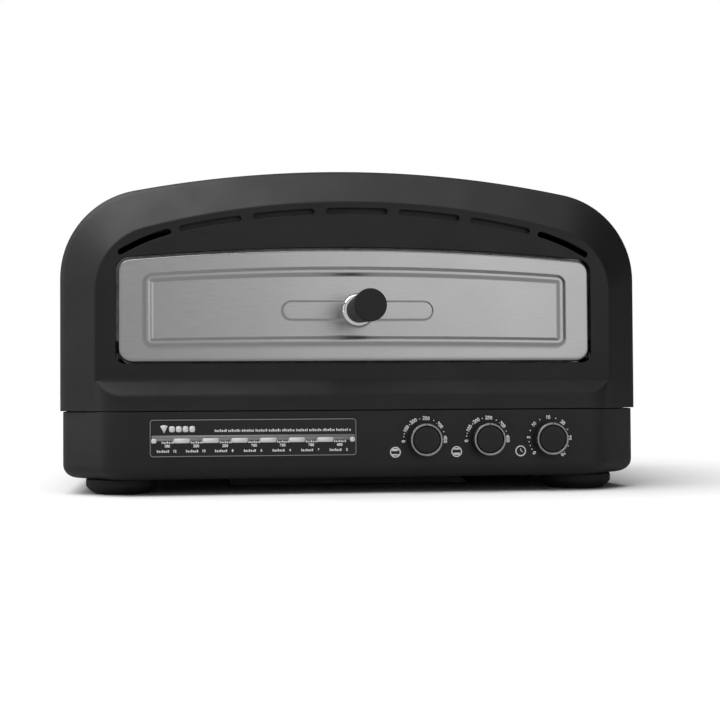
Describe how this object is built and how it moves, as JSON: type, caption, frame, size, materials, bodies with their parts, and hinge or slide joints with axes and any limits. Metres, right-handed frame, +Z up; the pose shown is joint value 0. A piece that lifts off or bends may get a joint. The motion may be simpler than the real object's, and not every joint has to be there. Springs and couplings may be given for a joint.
{
  "type": "countertop pizza oven",
  "caption": "Electric countertop pizza oven: arched black hood with bevelled front, drop-down steel door with a round handle, turning controls and a baking stone inside.",
  "frame": {"origin": "on the worktop, under the middle of the whole object's box", "axes": "+X to the right seen from the front, +Y to the back, +Z up"},
  "size_m": [0.5106, 0.484, 0.2804],
  "materials": {
    "black_paint": "fine matt powder coat",
    "satin_steel": "fine brushed satin",
    "plated_steel": "aluminised, dull",
    "chrome": "polished",
    "black_plastic": "satin moulded",
    "rubber": "matt",
    "stone": "unglazed cordierite",
    "wool": "mineral wool",
    "white_plastic": "moulded",
    "heater": "oxidised sheath"
  },
  "bodies": {
    "oven_body": {"front_bezel": "black_paint", "chin_panel": "black_paint", "vent_baffle": "black_paint", "hood_cover": "black_paint", "base_housing": "black_paint", "rear_panel": "black_paint", "side_vent_left": "black_paint", "side_vent_right": "black_paint", "foot_front_left": "rubber", "foot_front_right": "rubber", "foot_rear_left": "rubber", "foot_rear_right": "rubber", "cord_gland": "rubber", "foot_screw_front_left": "plated_steel", "foot_screw_front_right": "plated_steel", "foot_screw_rear_left": "plated_steel", "foot_screw_rear_right": "plated_steel", "belly_cowl": "black_plastic", "settings_plate": "black_plastic", "safety_cutout": "black_plastic", "terminal_block": "white_plastic", "thermostat_upper_heat": "white_plastic", "thermostat_lower_heat": "white_plastic", "timer_movement": "white_plastic", "chamber_front_frame": "plated_steel", "chamber_floor": "plated_steel", "chamber_roof": "plated_steel", "chamber_side_left": "plated_steel", "chamber_side_right": "plated_steel", "chamber_back": "plated_steel", "lower_element_holder": "plated_steel", "upper_element_holder": "plated_steel", "heat_reflector": "plated_steel", "stone_rail_left": "plated_steel", "stone_rail_right": "plated_steel", "chamber_leg_left": "plated_steel", "chamber_leg_right": "plated_steel", "lower_element": "heater", "upper_element": "heater", "pizza_stone": "stone", "insulation_blanket": "wool", "hinge_bracket_left": "black_paint", "hinge_bracket_right": "black_paint", "door_catch": "plated_steel"},
    "door": {"door_skin": "satin_steel", "door_liner": "plated_steel", "handle_grip": "black_plastic", "handle_collar": "chrome", "handle_screw": "plated_steel", "hinge_pin_left": "black_paint", "hinge_pin_right": "black_paint"},
    "upper_heat_control": {"knob_upper_heat": "black_plastic", "knob_ring_upper_heat": "chrome", "shaft_upper_heat": "plated_steel"},
    "lower_heat_control": {"knob_lower_heat": "black_plastic", "knob_ring_lower_heat": "chrome", "shaft_lower_heat": "plated_steel"},
    "timer_control": {"knob_timer": "black_plastic", "knob_ring_timer": "chrome", "shaft_timer": "plated_steel"}
  },
  "joints": [
    {"name": "door_hinge", "type": "hinge", "parent": "oven_body", "child": "door", "pos_m": [0, -0.159, 0.1165], "axis": [1, 0, 0], "range_deg": [0, 90]},
    {"name": "upper_heat_turn", "type": "hinge", "parent": "oven_body", "child": "upper_heat_control", "pos_m": [0.055, -0.174, 0.0457], "axis": [0, 1, 0], "range_deg": [-98, 98]},
    {"name": "lower_heat_turn", "type": "hinge", "parent": "oven_body", "child": "lower_heat_control", "pos_m": [0.1094, -0.174, 0.0457], "axis": [0, 1, 0], "range_deg": [-98, 98]},
    {"name": "timer_turn", "type": "hinge", "parent": "oven_body", "child": "timer_control", "pos_m": [0.1638, -0.174, 0.0457], "axis": [0, 1, 0], "range_deg": [-140, 140]}
  ]
}
